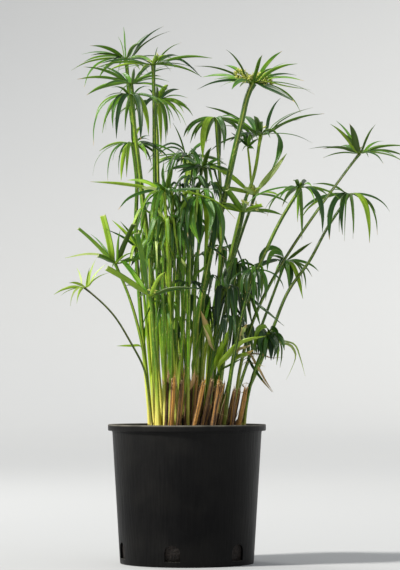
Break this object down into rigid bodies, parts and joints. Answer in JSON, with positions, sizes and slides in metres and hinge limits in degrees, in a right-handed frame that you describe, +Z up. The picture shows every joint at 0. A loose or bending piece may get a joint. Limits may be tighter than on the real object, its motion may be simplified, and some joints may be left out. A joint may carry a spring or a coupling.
{
  "type": "potted umbrella sedge",
  "caption": "Clump of tall green stems, each topped by an umbrella of narrow leaves, growing among cut stubs in a plain black nursery pot.",
  "frame": {"origin": "centre of the pot's flat base, where it rests", "axes": "+Z up along the pot and the plant, +X to the viewer's right, +Y away from the viewer"},
  "size_m": [0.4438, 0.3095, 0.6944],
  "materials": {
    "pot_plastic": "satin",
    "soil": "matte",
    "green_stem": "satin",
    "green_leaf": "satin",
    "dry_stub": "matte"
  },
  "bodies": {
    "root": {"pot": "pot_plastic", "potting_soil": "soil", "stem_01": "green_stem", "stem_02": "green_stem", "stem_03": "green_stem", "stem_04": "green_stem", "stem_05": "green_stem", "stem_06": "green_stem", "stem_07": "green_stem", "stem_08": "green_stem", "stem_09": "green_stem", "stem_10": "green_stem", "stem_11": "green_stem", "stem_12": "green_stem", "stem_13": "green_stem", "stem_14": "green_stem", "stem_15": "green_stem", "stem_16": "green_stem", "stem_17": "green_stem", "stem_18": "green_stem", "stem_19": "green_stem", "stem_20": "green_stem", "stem_21": "green_stem", "stem_22": "green_stem", "stem_23": "green_stem", "stem_24": "green_stem", "stem_25": "green_stem", "leaf_whorl_01": "green_leaf", "leaf_whorl_02": "green_leaf", "leaf_whorl_03": "green_leaf", "leaf_whorl_04": "green_leaf", "leaf_whorl_05": "green_leaf", "leaf_whorl_06": "green_leaf", "leaf_whorl_07": "green_leaf", "leaf_whorl_08": "green_leaf", "leaf_whorl_09": "green_leaf", "leaf_whorl_10": "green_leaf", "leaf_whorl_11": "green_leaf", "leaf_whorl_12": "green_leaf", "leaf_whorl_13": "green_leaf", "leaf_whorl_14": "green_leaf", "leaf_whorl_15": "green_leaf", "leaf_whorl_16": "green_leaf", "leaf_whorl_17": "green_leaf", "leaf_whorl_18": "green_leaf", "leaf_whorl_19": "green_leaf", "leaf_whorl_20": "green_leaf", "leaf_whorl_21": "green_leaf", "leaf_whorl_22": "green_leaf", "leaf_whorl_23": "green_leaf", "leaf_whorl_24": "green_leaf", "leaf_whorl_25": "green_leaf", "cut_stub_1": "dry_stub", "cut_stub_2": "dry_stub", "cut_stub_3": "dry_stub", "cut_stub_4": "dry_stub", "cut_stub_5": "dry_stub", "cut_stub_6": "dry_stub", "cut_stub_7": "dry_stub", "cut_stub_8": "dry_stub"}
  },
  "joints": []
}
